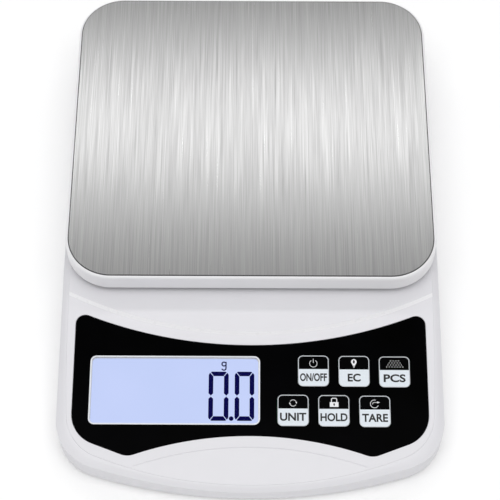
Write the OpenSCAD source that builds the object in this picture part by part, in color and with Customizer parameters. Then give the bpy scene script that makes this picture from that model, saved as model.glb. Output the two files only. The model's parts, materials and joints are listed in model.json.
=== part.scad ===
// Counting scale: white two-shell housing with a sloped key and display panel in
// front, and a stainless platform carried by a single-point load cell.
// Millimetres. Origin at the middle of the footprint on the table, +Z up,
// the display towards -Y, +X to the user's right.

/* [Housing] */
// Width of the housing
body_w = 165; // [163:1:175]
// Length of the housing, front to rear
body_l = 240; // [238:1:250]
// Radius of the four plan corners
corner_r = 22; // [18:1:26]
// Plan radius of the bowed front edge
bow_r = 230; // [200:5:300]
// Height of the flat roof below the platform
roof_z = 24.5; // [24.3:0.1:25]
// Downward slope of the front deck, in degrees
deck_tilt = 7; // [6:0.5:7.5]
// Wall thickness of the shells
wall = 2; // [1.6:0.1:2.2]
// Height of the curved step across the deck
step_h = 1.1; // [0.8:0.1:1.4]
// Plan radius of the curved step
step_r = 182; // [178:1:190]

/* [Platform] */
// Width of the stainless plate
plate_w = 160; // [156:1:161]
// Length of the stainless plate
plate_l = 149; // [145:1:150]
// Corner radius of the plate
plate_r = 19.5; // [16:0.5:22]
// Thickness of the plate
plate_t = 0.8; // [0.5:0.1:0.8]
// Rim of the tray around the plate
rim_w = 1.2; // [1:0.1:1.4]
// Height of the tray's skirt below the plate's surface
skirt_h = 9.3; // [8.5:0.1:9.6]
// Overall height, table to plate
total_h = 36.5; // [36.3:0.1:37]

/* [Panel] */
// Width of the black panel film
film_w = 151.6; // [149:0.2:152]
// Thickness of the film
film_t = 0.5; // [0.3:0.1:0.5]
// Width of the display window
window_w = 73; // [70:0.5:74]
// Depth of the display window
window_l = 30.7; // [29:0.1:31]
// Width of one key
key_w = 13.4; // [12.6:0.1:13.6]
// Depth of one key
key_l = 14; // [13:0.1:14.2]

/* [Weighing] */
// Length of the load cell
cell_l = 80; // [78:1:82]
// Side of the load cell's square section
cell_s = 12.7; // [12:0.1:12.7]

/* [Power] */
// Diameter of one AA cell
battery_d = 14.5; // [14:0.1:14.5]
// Length of one AA cell, nub included
battery_l = 50.5; // [49.5:0.1:50.5]

/* [Hidden] */

$fn = 96;
eps = 0.01;

// Heights of the base
foot_h = 2.5;
base_z = 1.5;
floor_t = 2;
floor_z = base_z + floor_t;
skirt_end_z = 2.5;

// Plan outline
front_y = -body_l / 2;
corner_x = body_w / 2 - corner_r;
bow_y = front_y + bow_r;
// the front corners cross the bow by a hair, so that the two arcs meet cleanly
bow_cross = 0.05;
front_corner_y = bow_y - sqrt(pow(bow_r - corner_r + bow_cross, 2) - corner_x * corner_x);
rear_corner_y = body_l / 2 - corner_r;

// Deck: the flat roof bends down along deck_y, and the panel lies one step lower
deck_y = -33;
deck_slope = tan(deck_tilt);
function deck_z(y) = roof_z - step_h + deck_slope * (y - deck_y);

// The step is an arc whose middle lies this far in front of deck_y
step_bow = 18.1;
// plan width of its sloping face
step_flare = 1.2;

// Shallow scoop in the front of the deck
scoop_y = -101.6;
scoop_r = 1350;
scoop_tilt = 13.1;

// Panel frame: origin at the middle of the window line, on the deck
panel_y = -76.9;
panel_z = deck_z(panel_y);
recess_t = film_t + 0.1;
roof_t = 2.6;
window_x = -32.3;
window_r = 2.6;
key_x = [27.0, 44.4, 61.7, 18.2, 35.5, 52.9];
key_y = [8.7, 8.6, 8.4, -8.9, -9.0, -9.2];
key_gap = 0.25;
key_corner = 2.2;
cap_t = 1.6;
board_top = -7.7;
board_t = 1.6;
switch_s = 6;
switch_h = 3.5;
stem_r = 1.6;
post_x = [-74, -74, 9.3, 72.5, 72.5];
post_y = [8, -8, 12, 8, -8];
post_r = 2.4;

// Platform
tray_y = 43.1;
tray_w = plate_w + 2 * rim_w;
tray_l = plate_l + 2 * rim_w;
tray_r = plate_r + rim_w;
tray_top = total_h - 0.3;
tray_floor_z = total_h - plate_t - 0.2;
tray_floor_t = 2;
skirt_z = total_h - skirt_h;
boss_y = 73.1;
boss_w = 20;
boss_l = 24;

// Load cell
cell_z = 7;
cell_top = cell_z + cell_s;
spacer_up_t = 2;
cell_hole_y = [-35, -25, 25, 35];
m4_r = 1.95;
m4_hole_r = 2.15;

// Screws that join the shells
boss_xy = [[40, -106], [-40, -106], [74.2, -40], [-74.2, -40], [66, 103], [-66, 103]];
pillar_r = 3.6;
pillar_z = 6;

// Battery bay, beside the load cell
bay_x = -44.25;
bay_y = 48;
bay_w = 57.5;
bay_l = 32.8;
bay_z = 19.2;
cell_pitch = 16;
battery_z = 11.6;
door_w = 54.6;
door_l = 30.6;
door_t = 1.5;
door_axis_x = bay_x - 27.5;
door_axis_z = 2.6;
door_barrel_r = 0.85;
door_pin_r = 0.6;

foot_x = 66;
foot_front_y = -86;
foot_rear_y = 84;
foot_r = 6;

// ---------- plan shapes ----------

module housing_outline(inset = 0) {
    r = corner_r - inset;
    w = body_w / 2 - inset;
    rear = body_l / 2 - inset;
    // edges of a wedge from the bow's centre out through the front corners
    reach = 1.2;
    wedge_x = corner_x * reach;
    wedge_y = bow_y - (bow_y - front_corner_y) * reach;
    intersection() {
        translate([0, bow_y])
            circle(r = bow_r - inset, $fn = 360);
        union() {
            translate([-w, front_corner_y])
                square([2 * w, rear_corner_y - front_corner_y]);
            translate([-corner_x, rear_corner_y - 1])
                square([2 * corner_x, rear - rear_corner_y + 1]);
            for (x = [-corner_x, corner_x], y = [front_corner_y, rear_corner_y])
                translate([x, y])
                    circle(r = r);
            polygon([[0, bow_y], [-wedge_x, wedge_y], [wedge_x, wedge_y]]);
        }
    }
}

module rounded_rect(w, l, r) {
    for (sx = [-1, 1], sy = [-1, 1])
        translate([sx * (w / 2 - r), sy * (l / 2 - r)])
            circle(r = r);
    square([w, l - 2 * r], center = true);
    square([w - 2 * r, l], center = true);
}

// Outline of the black film: bowed top and bottom edges and two lobes below
module film_outline(grow = 0) {
    side_r = 14;
    top_r = 192;
    top_y = 20.2;
    low_r = 150;
    low_y = -20.1;
    point_y = -48.7;
    // upper tips are rounded tighter than the two lower lobes
    for (half = [[4, 0, 60], [8, -60, 0]])
        intersection() {
            offset(r = half[0] + grow, $fn = 64)
                offset(delta = -half[0])
                    difference() {
                        hull() {
                            translate([-film_w / 2, 0])
                                square([film_w, 40]);
                            for (x = [-1, 1] * (film_w / 2 - side_r))
                                translate([x, -10.5])
                                    circle(r = side_r);
                            translate([0, point_y])
                                circle(r = 0.1, $fn = 8);
                        }
                        translate([0, top_y + top_r])
                            circle(r = top_r, $fn = 360);
                        translate([0, low_y - low_r])
                            circle(r = low_r, $fn = 360);
                    }
            translate([-body_w, half[1] - eps])
                square([2 * body_w, half[2] - half[1] + 2 * eps]);
        }
}

module on_panel() {
    translate([0, panel_y, panel_z])
        rotate([deck_tilt, 0, 0])
            children();
}

module on_tray() {
    translate([0, tray_y, 0])
        children();
}

// Everything below a flat roof and the sloped deck in front of it
module roof_profile(roof, drop) {
    front = deck_y - body_l;
    translate([-body_w, 0, 0])
        rotate([90, 0, 90])
            linear_extrude(2 * body_w)
                polygon([[body_l, -5], [body_l, roof], [deck_y + drop / deck_slope, roof],
                    [front, roof - drop - deck_slope * (deck_y - front)], [front, -5]]);
}

function unit(v) = v / norm(v);

// Lead of radius r along a few points, its rings square to the route
module wire(points, r) {
    sides = 6;
    last = len(points) - 1;
    dirs = [for (i = [0 : last])
        unit((i < last ? unit(points[i + 1] - points[i]) : [0, 0, 0])
            + (i > 0 ? unit(points[i] - points[i - 1]) : [0, 0, 0]))];
    rings = [for (i = [0 : last], j = [0 : sides - 1])
        let (u = unit(cross(dirs[i], [0, 0, 1])), v = cross(u, dirs[i]), a = 360 * j / sides)
        points[i] + r * (cos(a) * u + sin(a) * v)];
    tube(rings, last, sides);
}

// Closed tube through rings of points
module tube(rings, last, sides) {
    walls = [for (i = [0 : last - 1], j = [0 : sides - 1])
        [i * sides + j, i * sides + (j + 1) % sides, (i + 1) * sides + (j + 1) % sides, (i + 1) * sides + j]];
    start = [[for (j = [sides - 1 : -1 : 0]) j]];
    end = [[for (j = [0 : sides - 1]) last * sides + j]];
    polyhedron(rings, concat(walls, start, end));
}

// Conical coil from radius ra to rb over height h
module coil(ra, rb, h, turns, wire_r) {
    sides = 6;
    last = turns * 14;
    rings = [for (i = [0 : last], j = [0 : sides - 1])
        let (t = i / last, a = 360 * t * turns, b = 360 * j / sides, r = ra + (rb - ra) * t + wire_r * cos(b))
        [r * cos(a), r * sin(a), wire_r + (h - 2 * wire_r) * t + wire_r * sin(b)]];
    tube(rings, last, sides);
}

module pan_screw(head_r, head_h, shank_r, shank_l) {
    difference() {
        cylinder(r = head_r, h = head_h, $fn = 32);
        for (a = [0, 90])
            rotate(a)
                translate([-head_r * 0.6, -0.3, -eps])
                    cube([head_r * 1.2, 0.6, head_h * 0.5]);
    }
    translate([0, 0, head_h - eps])
        cylinder(r = shank_r, h = shank_l, $fn = 32);
}

// ---------- shells ----------

module top_housing() {
    color("white")
        difference() {
            union() {
                difference() {
                    intersection() {
                        translate([0, 0, skirt_end_z])
                            linear_extrude(body_l)
                                housing_outline();
                        union() {
                            roof_profile(roof_z, step_h);
                            intersection() {
                                roof_profile(roof_z, 0);
                                step_cone();
                            }
                        }
                    }
                    intersection() {
                        linear_extrude(body_l)
                            housing_outline(wall);
                        roof_profile(roof_z - roof_t, step_h);
                    }
                }
                for (p = boss_xy)
                    translate([p[0], p[1], pillar_z + 0.1])
                        cylinder(r = pillar_r, h = min(deck_z(p[1]), roof_z - step_h) - 1.6 - pillar_z);
                on_panel()
                    for (i = [0 : len(post_x) - 1])
                        translate([post_x[i], post_y[i], board_top])
                            cylinder(r = post_r, h = -board_top - 1.5);
            }
            scoop();
            on_panel() {
                translate([0, 0, -recess_t])
                    linear_extrude(10)
                        film_outline(0.15);
                translate([window_x, 0, -10])
                    linear_extrude(20)
                        rounded_rect(window_w + 0.3, window_l + 0.3, window_r);
                for (i = [0 : 5])
                    translate([key_x[i], key_y[i], -5])
                        linear_extrude(20)
                            rounded_rect(key_w + 2 * key_gap, key_l + 2 * key_gap, key_corner + key_gap);
                for (i = [0 : len(post_x) - 1])
                    translate([post_x[i], post_y[i], board_top - 1])
                        cylinder(r = 0.95, h = 5.5, $fn = 24);
            }
            translate([0, boss_y, roof_z - 10])
                linear_extrude(20)
                    rounded_rect(boss_w + 5, boss_l + 5, 3);
            for (p = boss_xy)
                translate([p[0], p[1], 0])
                    cylinder(r = 1.45, h = 11, $fn = 32);
        }
}

// Everything behind the curved step, with a chamfered front face
module step_cone() {
    tall = 60;
    // the cone runs on above the roof's slope, which cuts it off
    above = 0.6;
    translate([0, deck_y - step_bow, roof_z - deck_slope * step_bow])
        rotate([deck_tilt, 0, 0])
            translate([0, step_r, -step_h])
                union() {
                    cylinder(r1 = step_r + step_flare, r2 = step_r - step_flare * above / step_h,
                        h = step_h + above, $fn = 360);
                    translate([0, 0, -tall])
                        cylinder(r = step_r + step_flare, h = tall + eps, $fn = 360);
                }
}

module scoop() {
    translate([0, scoop_y, deck_z(scoop_y)])
        rotate([scoop_tilt, 0, 0])
            translate([0, -30, scoop_r])
                rotate([90, 0, 0])
                    cylinder(r = scoop_r, h = 100, center = true, $fn = 1440);
}

module bottom_housing() {
    color("whitesmoke")
        difference() {
            union() {
                // floor, its rim tucked below the upper shell's skirt
                translate([0, 0, base_z])
                    linear_extrude(skirt_end_z - 0.1 - base_z)
                        housing_outline(0.8);
                translate([0, 0, base_z + 0.5])
                    linear_extrude(floor_z - base_z - 0.5)
                        housing_outline(wall + 0.25);
                // locating rib inside the skirt
                translate([0, 0, floor_z - 0.5])
                    linear_extrude(3.5)
                        difference() {
                            housing_outline(wall + 0.25);
                            housing_outline(wall + 1.75);
                        }
                for (p = boss_xy)
                    translate([p[0], p[1], floor_z - 0.5])
                        cylinder(r = 4.4, h = pillar_z - floor_z + 0.5);
                // seat below the load cell
                translate([-9, tray_y - cell_l / 2 - 1.5, floor_z - 0.5])
                    cube([18, 24, 1]);
                battery_bay();
                // stiffening ribs
                for (x = [20, 44])
                    translate([x, -20, floor_z - 0.5])
                        cube([1.4, 100, 3]);
                translate([-60, -36, floor_z - 0.5])
                    cube([120, 1.4, 2.5]);
            }
            for (p = boss_xy)
                translate([p[0], p[1], 0]) {
                    cylinder(r = 3.1, h = 3.6, $fn = 48);
                    cylinder(r = 1.7, h = 10, $fn = 32);
                }
            for (sx = [-1, 1], y = [foot_front_y, foot_rear_y])
                translate([sx * foot_x, y, 0])
                    cylinder(r = foot_r + 0.1, h = foot_h);
            for (dy = [cell_hole_y[0], cell_hole_y[1]])
                translate([0, tray_y + dy, 0]) {
                    cylinder(r = 4, h = 2.6, $fn = 48);
                    cylinder(r = m4_hole_r, h = 10, $fn = 32);
                }
            battery_opening();
            // shallow seat for the label
            translate([12, 20, 0])
                cube([46, 30, base_z + 0.15]);
        }
}

module battery_bay() {
    t = 1.5;
    translate([bay_x - bay_w / 2 - t, bay_y - bay_l / 2 - t, floor_z - 0.5])
        difference() {
            cube([bay_w + 2 * t, bay_l + 2 * t, bay_z + t - floor_z + 0.5]);
            translate([t, t, -1])
                cube([bay_w, bay_l, bay_z - floor_z + 1.5]);
        }
    // hinge lugs beside the door
    for (s = [-1, 1])
        translate([door_axis_x, bay_y + s * (door_l / 2 + 0.3 + 1.1), floor_z])
            cube([2.6, 1.6, 2.4], center = true);
    // stop above the door's latch end
    translate([bay_x + door_w / 2 - 2, bay_y - bay_l / 2 - t, floor_z - 0.35])
        cube([4, bay_l + 2 * t, 0.85]);
}

module battery_opening() {
    hinge_side = bay_x - door_w / 2 - 1.3;
    latch_side = bay_x + door_w / 2 + 0.8;
    // the door's seat, and a shorter opening above it that leaves a stop at the latch end
    translate([hinge_side, bay_y - door_l / 2 - 0.3, 0])
        cube([latch_side - hinge_side, door_l + 0.6, base_z + door_t + 0.15]);
    translate([hinge_side, bay_y - door_l / 2 - 0.3, 0])
        cube([latch_side - hinge_side - 2, door_l + 0.6, floor_z + 1.2]);
    // bores that carry the door's hinge pins
    translate([door_axis_x, bay_y, door_axis_z])
        rotate([90, 0, 0])
            cylinder(r = door_pin_r + 0.06, h = door_l + 4, center = true, $fn = 24);
    // finger notch in the floor at the latch end
    translate([bay_x + door_w / 2 + 0.6, bay_y, 0])
        cylinder(r = 5, h = base_z + 0.9, $fn = 48);
}

module battery_door() {
    x0 = door_axis_x + 0.7;
    x1 = bay_x + door_w / 2 + 0.4;
    color("whitesmoke")
        difference() {
            union() {
                translate([x0, bay_y - door_l / 2, base_z])
                    cube([x1 - x0, door_l, door_t]);
                // rounded hinge edge and its two pins
                translate([door_axis_x, bay_y, door_axis_z])
                    rotate([90, 0, 0]) {
                        cylinder(r = door_barrel_r, h = door_l, center = true, $fn = 32);
                        cylinder(r = door_pin_r, h = door_l + 3.6, center = true, $fn = 24);
                    }
                // stiffening rib inside
                translate([bay_x - 12, bay_y - 1, base_z + door_t - eps])
                    cube([24, 2, 0.5]);
            }
            // finger grooves
            for (i = [0 : 3])
                translate([x1 - 4 - i * 2, bay_y - 6, base_z - eps])
                    cube([0.9, 12, 0.4]);
        }
}

module foot(sx, y) {
    color("dimgray")
        translate([sx * foot_x, y, 0]) {
            cylinder(r1 = foot_r - 0.8, r2 = foot_r, h = 0.8);
            translate([0, 0, 0.8 - eps])
                cylinder(r = foot_r, h = foot_h - 0.8 + eps);
        }
}

module foot_front_left() foot(-1, foot_front_y);
module foot_front_right() foot(1, foot_front_y);
module foot_rear_left() foot(-1, foot_rear_y);
module foot_rear_right() foot(1, foot_rear_y);

module housing_screws() {
    color("silver")
        for (p = boss_xy)
            translate([p[0], p[1], 1.7])
                pan_screw(2.8, 1.9, 1.4, 7);
}

module rating_label() {
    color("white")
        translate([12.5, 20.5, base_z + 0.05])
            cube([45, 29, 0.1]);
}

// ---------- panel ----------

module panel_film() {
    color("black")
        on_panel()
            translate([0, 0, -recess_t])
                linear_extrude(film_t)
                    difference() {
                        film_outline(0);
                        translate([window_x, 0])
                            rounded_rect(window_w, window_l, window_r);
                        for (i = [0 : 5])
                            translate([key_x[i], key_y[i]])
                                rounded_rect(key_w + 2 * key_gap, key_l + 2 * key_gap, key_corner + key_gap);
                    }
}

module display_window() {
    color([0.8, 0.85, 1, 0.4])
        on_panel()
            translate([window_x, 0, -1.1])
                linear_extrude(1)
                    rounded_rect(window_w - 0.1, window_l - 0.1, window_r);
}

module lcd_bezel() {
    color("white")
        on_panel()
            translate([window_x, 0, -2])
                linear_extrude(0.85)
                    difference() {
                        rounded_rect(window_w - 0.1, window_l - 0.1, window_r);
                        rounded_rect(window_w - 1.6, window_l - 1.6, window_r - 0.7);
                    }
}

module lcd_glass() {
    color("lightsteelblue")
        on_panel()
            translate([window_x, 0, -3.45])
                cube([74.6, 33, 1.4], center = true);
}

module backlight_panel() {
    color("white")
        on_panel()
            translate([window_x, 0, -5.6])
                cube([74.6, 31, 2.8], center = true);
}

module zebra_strip() {
    color("hotpink")
        on_panel()
            translate([window_x, -16.2, (board_top - 4.15) / 2])
                cube([66, 1, -board_top - 4.2], center = true);
}

module key_cap(i) {
    on_panel()
        translate([key_x[i], key_y[i], 0]) {
            translate([0, 0, -cap_t + 0.1])
                linear_extrude(cap_t)
                    rounded_rect(key_w, key_l, key_corner);
            translate([0, 0, -3])
                cylinder(r = 2.4, h = 1.6, $fn = 32);
        }
}

module stem(i) {
    on_panel()
        translate([key_x[i], key_y[i], -5])
            cylinder(r = stem_r, h = 2, $fn = 32);
}

module key_on_off() color("black") key_cap(0);
module key_backlight() color("black") key_cap(1);
module key_count() color("black") key_cap(2);
module key_unit() color("black") key_cap(3);
module key_hold() color("black") key_cap(4);
module key_tare() color("black") key_cap(5);
module stem_on_off() color("saddlebrown") stem(0);
module stem_backlight() color("saddlebrown") stem(1);
module stem_count() color("saddlebrown") stem(2);
module stem_unit() color("saddlebrown") stem(3);
module stem_hold() color("saddlebrown") stem(4);
module stem_tare() color("saddlebrown") stem(5);

// Square bodies of the six press switches, each open for its stem
module switch_bodies() {
    color("dimgray")
        on_panel()
            for (i = [0 : 5])
                translate([key_x[i], key_y[i], board_top])
                    difference() {
                        translate([0, 0, switch_h / 2])
                            cube([switch_s, switch_s, switch_h], center = true);
                        translate([0, 0, 1.6])
                            cylinder(r = stem_r + 0.08, h = 5, $fn = 32);
                    }
}

module main_board() {
    color("darkgreen")
        on_panel()
            difference() {
                translate([-77, -19, board_top - board_t])
                    cube([152.5, 38, board_t]);
                for (i = [0 : len(post_x) - 1])
                    translate([post_x[i], post_y[i], board_top - 5])
                        cylinder(r = 1.3, h = 10, $fn = 24);
            }
}

module board_screws() {
    color("silver")
        on_panel()
            for (i = [0 : len(post_x) - 1])
                translate([post_x[i], post_y[i], board_top - board_t - 1.2])
                    pan_screw(1.9, 1.2, 0.9, 5);
}

module main_chip() {
    chip_z = board_top - board_t - 2.2;
    color("black")
        on_panel()
            translate([30, -4, chip_z]) {
                cube([15, 7.6, 2.2]);
                for (i = [0 : 9], y = [-1.2, 7.6 - eps])
                    translate([1.2 + i * 1.35, y, 1.2])
                        cube([0.5, 1.2 + eps, 1]);
            }
}

module board_parts() {
    under = board_top - board_t;
    color("tan")
        on_panel() {
            for (i = [0 : 5])
                translate([50 + 3.2 * i, 4, under - 0.7])
                    cube([1.6, 0.9, 0.7]);
            for (i = [0 : 3])
                translate([14 + 3 * i, -10, under - 0.7])
                    cube([1.6, 0.9, 0.7]);
            translate([14, 8, under - 3.4])
                cylinder(r = 2.5, h = 3.4, $fn = 32);
            translate([56, -6, under - 3])
                cube([8, 3.4, 3]);
        }
}

module lead_socket() {
    color("ivory")
        on_panel()
            translate([-8, 10, board_top - board_t - 3.6])
                difference() {
                    cube([12, 5, 3.6]);
                    translate([1, 1, -eps])
                        cube([10, 5, 2.6]);
                }
}

// ---------- weighing ----------

module load_cell() {
    color("silver")
        on_tray()
            difference() {
                translate([-cell_s / 2, -cell_l / 2, cell_z])
                    cube([cell_s, cell_l, cell_s]);
                translate([0, 0, cell_z + cell_s / 2])
                    rotate([0, 90, 0]) {
                        for (y = [-8, 8])
                            translate([0, y, 0])
                                cylinder(r = 4.7, h = 20, center = true);
                        cube([4, 16, 20], center = true);
                    }
                for (y = cell_hole_y)
                    translate([0, y, cell_z - 1])
                        cylinder(r = 2, h = cell_s + 2, $fn = 32);
            }
}

module gauge_seal() {
    color("white")
        on_tray()
            for (z = [cell_z - 1, cell_top])
                translate([-5.5, -15, z])
                    cube([11, 30, 1]);
}

module cell_spacer_lower() {
    color("gray")
        on_tray()
            difference() {
                translate([-cell_s / 2, -cell_l / 2, floor_z + 0.5])
                    cube([cell_s, 20, cell_z - floor_z - 0.5]);
                for (i = [0, 1])
                    translate([0, cell_hole_y[i], 0])
                        cylinder(r = m4_hole_r, h = 20, $fn = 32);
            }
}

module cell_spacer_upper() {
    color("gray")
        on_tray()
            difference() {
                translate([-cell_s / 2, cell_l / 2 - 20, cell_top])
                    cube([cell_s, 20, spacer_up_t]);
                for (i = [2, 3])
                    translate([0, cell_hole_y[i], 0])
                        cylinder(r = m4_hole_r, h = 40, $fn = 32);
            }
}

module cell_screws_lower() {
    color("silver")
        on_tray()
            for (i = [0, 1])
                translate([0, cell_hole_y[i], base_z - 0.9 + 1])
                    pan_screw(3.6, 1, m4_r, 12);
}

module cell_screws_upper() {
    color("silver")
        on_tray()
            for (i = [2, 3])
                translate([0, cell_hole_y[i], tray_floor_z - 0.1])
                    mirror([0, 0, 1])
                        pan_screw(3.6, 1.6, m4_r, 20);
}

// Four fine leads from the gauge's seal, over the floor to the board's socket
module load_cell_leads() {
    for (i = [0 : 3])
        color(["red", "black", "green", "white"][i])
            wire([[5.6, tray_y - 12 + i * 1.2, cell_top + 0.6], [8 + i * 0.6, tray_y - 13 + i * 1.2, cell_top + 0.4],
                [10 + i * 1.2, tray_y - 16, 12], [10 + i * 1.2, 0, 5.4], [6 + i * 1.3, -35, 6.6],
                [-3 + i * 1.5, -56, 7.9], [-3 + i * 1.5, -62.5, 8.1]], 0.45);
}

// ---------- power ----------

// One AA cell lying along X with its nub towards +X
module aa_cell() {
    rotate([0, 90, 0]) {
        translate([0, 0, -battery_l / 2])
            cylinder(r = battery_d / 2, h = battery_l - 1);
        cylinder(r = 2.7, h = battery_l / 2, $fn = 32);
    }
}

contact_t = 0.4;
battery_off = bay_w / 2 - contact_t - 0.05 - battery_l / 2;

module battery_front() {
    color("darkorange")
        translate([bay_x - battery_off, bay_y - cell_pitch / 2, battery_z])
            mirror([1, 0, 0])
                aa_cell();
}

module battery_rear() {
    color("darkorange")
        translate([bay_x + battery_off, bay_y + cell_pitch / 2, battery_z])
            aa_cell();
}

module contact_plate(x, y, w) {
    translate([x - contact_t / 2, y - w / 2, battery_z - 5])
        cube([contact_t, w, 10]);
}

module battery_plates() {
    color("silver")
        for (s = [-1, 1])
            contact_plate(bay_x + bay_w / 2 - contact_t / 2, bay_y + s * cell_pitch / 2, 10);
}

module battery_bridge() {
    color("silver")
        contact_plate(bay_x - bay_w / 2 + contact_t / 2, bay_y, 10 + cell_pitch);
}

module battery_springs() {
    h = bay_w - battery_l - 2 * contact_t - 0.2;
    color("silver") {
        translate([bay_x + bay_w / 2 - contact_t - 0.02, bay_y - cell_pitch / 2, battery_z])
            rotate([0, -90, 0])
                coil(4.6, 2.6, h, 4, 0.35);
        translate([bay_x - bay_w / 2 + contact_t + 0.02, bay_y + cell_pitch / 2, battery_z])
            rotate([0, 90, 0])
                coil(4.6, 2.6, h, 4, 0.35);
    }
}

module battery_leads() {
    for (i = [0, 1])
        color(i == 0 ? "red" : "black")
            wire([[-13.3, bay_y - 12 + i * 3, 8], [-10.5 - i * 1.8, 14, 5.4], [-10 - i * 1.8, -35, 6.8],
                [-4.8 - i * 1.6, -56, 7.9], [-4.8 - i * 1.6, -62.5, 8.1]], 0.6);
}

// ---------- platform ----------

module platform_plate() {
    color("lightgray")
        on_tray()
            translate([0, 0, total_h - plate_t])
                linear_extrude(plate_t)
                    rounded_rect(plate_w, plate_l, plate_r);
}

module plate_adhesive() {
    color("beige")
        on_tray()
            translate([0, 0, tray_floor_z])
                linear_extrude(0.2)
                    rounded_rect(plate_w - 12, plate_l - 12, plate_r - 6);
}

module platform_tray() {
    gap = 0.15;
    round = 0.9;
    skin = 1.8;
    color("white")
        difference() {
            union() {
                on_tray()
                    difference() {
                        union() {
                            translate([0, 0, skirt_z])
                                linear_extrude(tray_top - round - skirt_z)
                                    rounded_rect(tray_w, tray_l, tray_r);
                            hull()
                                for (i = [0 : 3])
                                    translate([0, 0, tray_top - round - eps + round * sin(30 * i)])
                                        linear_extrude(eps)
                                            rounded_rect(tray_w - 2 * round * (1 - cos(30 * i)),
                                                tray_l - 2 * round * (1 - cos(30 * i)),
                                                tray_r - round * (1 - cos(30 * i)));
                        }
                        // seat for the plate
                        translate([0, 0, tray_floor_z])
                            linear_extrude(10)
                                rounded_rect(plate_w + 2 * gap, plate_l + 2 * gap, plate_r + gap);
                        // hollow below the tray's floor
                        translate([0, 0, skirt_z - 1])
                            linear_extrude(tray_floor_z - tray_floor_t - skirt_z + 1)
                                rounded_rect(tray_w - 2 * skin, tray_l - 2 * skin, tray_r - skin);
                    }
                // boss that stands on the load cell, and ribs out to the skirt
                translate([-boss_w / 2, boss_y - boss_l / 2, cell_top + spacer_up_t])
                    cube([boss_w, boss_l, tray_floor_z - tray_floor_t + 0.5 - cell_top - spacer_up_t]);
                for (x = [-45, -15, 15, 45])
                    translate([x - 0.8, tray_y - tray_l / 2 + 1, 29])
                        cube([1.6, tray_l - 2, 5]);
                for (y = [-13, 10, boss_y - 8, boss_y + 8])
                    translate([-tray_w / 2 + 1, y - 0.8, 29])
                        cube([tray_w - 2, 1.6, 5]);
            }
            on_tray()
                for (i = [2, 3])
                    translate([0, cell_hole_y[i], 0]) {
                        cylinder(r = m4_hole_r, h = 50, $fn = 32);
                        translate([0, 0, tray_floor_z - 1.8])
                            cylinder(r = 3.9, h = 5, $fn = 48);
                    }
        }
}

top_housing();
bottom_housing();
battery_door();
foot_front_left();
foot_front_right();
foot_rear_left();
foot_rear_right();
housing_screws();
panel_film();
display_window();
lcd_bezel();
lcd_glass();
backlight_panel();
zebra_strip();
key_on_off();
key_backlight();
key_count();
key_unit();
key_hold();
key_tare();
stem_on_off();
stem_backlight();
stem_count();
stem_unit();
stem_hold();
stem_tare();
switch_bodies();
main_board();
main_chip();
board_parts();
lead_socket();
board_screws();
load_cell();
gauge_seal();
cell_spacer_lower();
cell_spacer_upper();
cell_screws_lower();
cell_screws_upper();
load_cell_leads();
battery_front();
battery_rear();
battery_plates();
battery_springs();
battery_bridge();
battery_leads();
platform_plate();
plate_adhesive();
platform_tray();
rating_label();
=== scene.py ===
"""Counting scale: white two-shell housing with a sloped panel, brushed steel platform,
backlit display and six keys. Shapes are modelled in millimetres and written in metres."""
import json
import math

import bmesh
import bpy
from mathutils import Matrix, Vector
from mathutils.geometry import delaunay_2d_cdt


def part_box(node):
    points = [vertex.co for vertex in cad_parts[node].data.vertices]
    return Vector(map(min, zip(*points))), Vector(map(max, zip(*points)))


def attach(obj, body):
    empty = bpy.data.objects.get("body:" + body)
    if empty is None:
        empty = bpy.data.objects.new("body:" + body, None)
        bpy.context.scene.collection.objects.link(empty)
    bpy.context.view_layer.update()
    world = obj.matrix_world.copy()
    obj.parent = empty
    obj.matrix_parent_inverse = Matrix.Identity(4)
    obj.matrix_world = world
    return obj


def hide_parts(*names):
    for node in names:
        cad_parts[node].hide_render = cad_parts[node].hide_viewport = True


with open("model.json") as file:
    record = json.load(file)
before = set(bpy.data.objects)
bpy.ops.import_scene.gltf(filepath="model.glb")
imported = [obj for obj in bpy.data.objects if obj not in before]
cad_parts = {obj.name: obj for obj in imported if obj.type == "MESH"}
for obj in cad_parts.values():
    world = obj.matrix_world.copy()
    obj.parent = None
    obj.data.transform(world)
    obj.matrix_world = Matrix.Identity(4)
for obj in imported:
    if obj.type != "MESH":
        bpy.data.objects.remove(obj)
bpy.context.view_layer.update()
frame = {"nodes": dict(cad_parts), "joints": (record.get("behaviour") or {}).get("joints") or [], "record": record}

MM = 0.001


def node_box(node):
    """Lowest and highest corner of a CAD node, in millimetres."""
    low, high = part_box(node)
    return low / MM, high / MM


# ---------- camera and lights ----------

CAMERA_PLACE = (0.0006, -0.3562, 0.6345)
CAMERA_TURN = (29.44, -0.045, 0.25)
CAMERA_LENS = 113.8
DOME_STRENGTH = 0.42
SCALE_MIDDLE = (0, 0.02, 0.03)
PLATE_TOP = (0, 0.045, 0.036)
# place, the point it looks at, size in metres, and watts
LIGHTS = {
    "top_softbox": ((0, -0.25, 1.5), SCALE_MIDDLE, (1.5, 0.9), 9.6),
    "front_softbox": ((0, -1.1, 0.8), SCALE_MIDDLE, (2.0, 0.6), 2.8),
    "left_softbox": ((-1.1, -0.1, 1.3), SCALE_MIDDLE, (1.0, 1.2), 1.2),
    "right_softbox": ((1.1, -0.1, 1.3), SCALE_MIDDLE, (1.0, 1.2), 1.2),
    "rear_strip": ((0, 0.72, 1.02), PLATE_TOP, (1.8, 0.12), 3.5),
}


def add_camera():
    camera = bpy.data.cameras.new("camera")
    camera.lens = CAMERA_LENS
    camera.sensor_width = 36
    camera.clip_end = 20
    holder = bpy.data.objects.new("camera", camera)
    bpy.context.scene.collection.objects.link(holder)
    holder.location = CAMERA_PLACE
    holder.rotation_euler = [math.radians(a) for a in CAMERA_TURN]
    bpy.context.scene.camera = holder


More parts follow.
